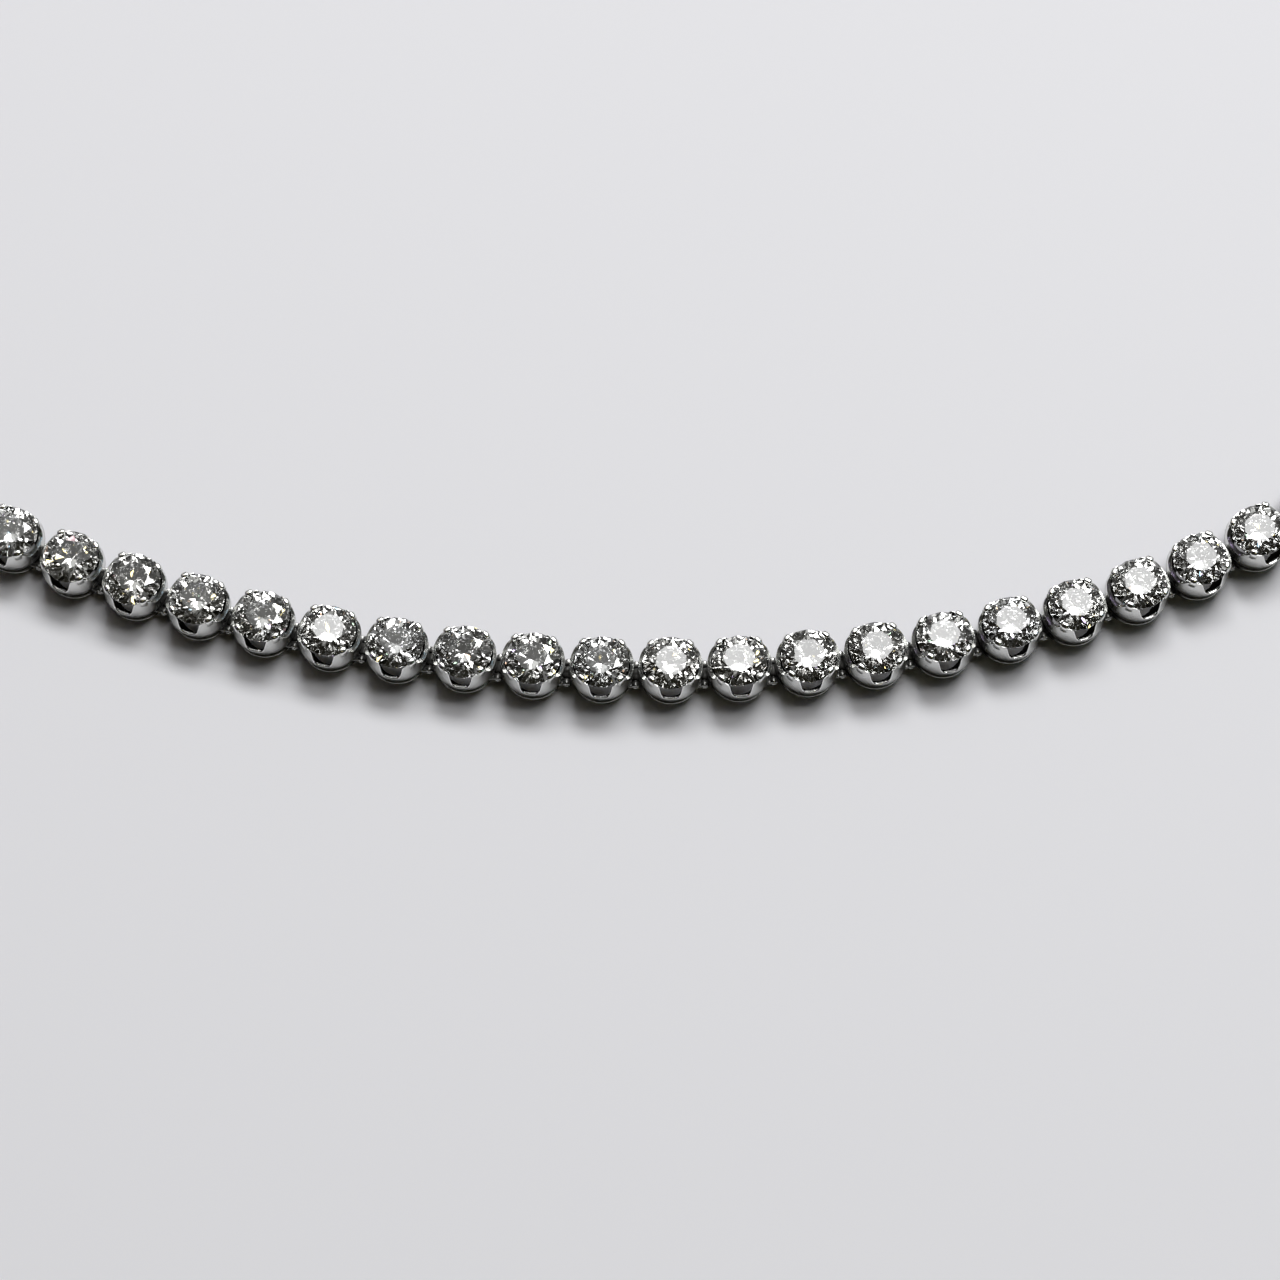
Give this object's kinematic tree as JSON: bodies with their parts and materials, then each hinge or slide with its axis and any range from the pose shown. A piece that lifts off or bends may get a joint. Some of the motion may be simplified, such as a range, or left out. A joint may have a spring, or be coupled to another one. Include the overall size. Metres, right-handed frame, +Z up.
{
  "type": "diamond necklace",
  "caption": "Riviera necklace: a closed oval row of round brilliants in four-claw scalloped settings, hinged to each other, with a plain box clasp.",
  "frame": {"origin": "under the middle of the loop, on the surface that the necklace lies on", "axes": "+X to the wearer's view right along the loop's length, +Y from the front of the row to the clasp, +Z up out of the stones' tables"},
  "size_m": [0.1576, 0.107, 0.0035],
  "materials": {
    "white_gold": "high polish, rhodium plated",
    "diamond": "polished facets, clear"
  },
  "bodies": {
    "root": {"setting_01": "white_gold", "setting_02": "white_gold", "setting_03": "white_gold", "setting_04": "white_gold", "setting_05": "white_gold", "setting_06": "white_gold", "setting_07": "white_gold", "setting_08": "white_gold", "setting_09": "white_gold", "setting_10": "white_gold", "setting_11": "white_gold", "setting_12": "white_gold", "setting_13": "white_gold", "setting_14": "white_gold", "setting_15": "white_gold", "setting_16": "white_gold", "setting_17": "white_gold", "setting_18": "white_gold", "stone_01": "diamond", "stone_02": "diamond", "stone_03": "diamond", "stone_04": "diamond", "stone_05": "diamond", "stone_06": "diamond", "stone_07": "diamond", "stone_08": "diamond", "stone_09": "diamond", "stone_10": "diamond", "stone_11": "diamond", "stone_12": "diamond", "stone_13": "diamond", "stone_14": "diamond", "stone_15": "diamond", "stone_16": "diamond", "stone_17": "diamond", "stone_18": "diamond", "left_stretch_1": "white_gold", "left_stretch_2": "white_gold", "left_stretch_3": "white_gold", "left_stretch_4": "white_gold", "left_stretch_5": "white_gold", "left_stretch_6": "white_gold", "right_stretch_1": "white_gold", "right_stretch_2": "white_gold", "right_stretch_3": "white_gold", "right_stretch_4": "white_gold", "right_stretch_5": "white_gold", "clasp": "white_gold"}
  },
  "joints": []
}
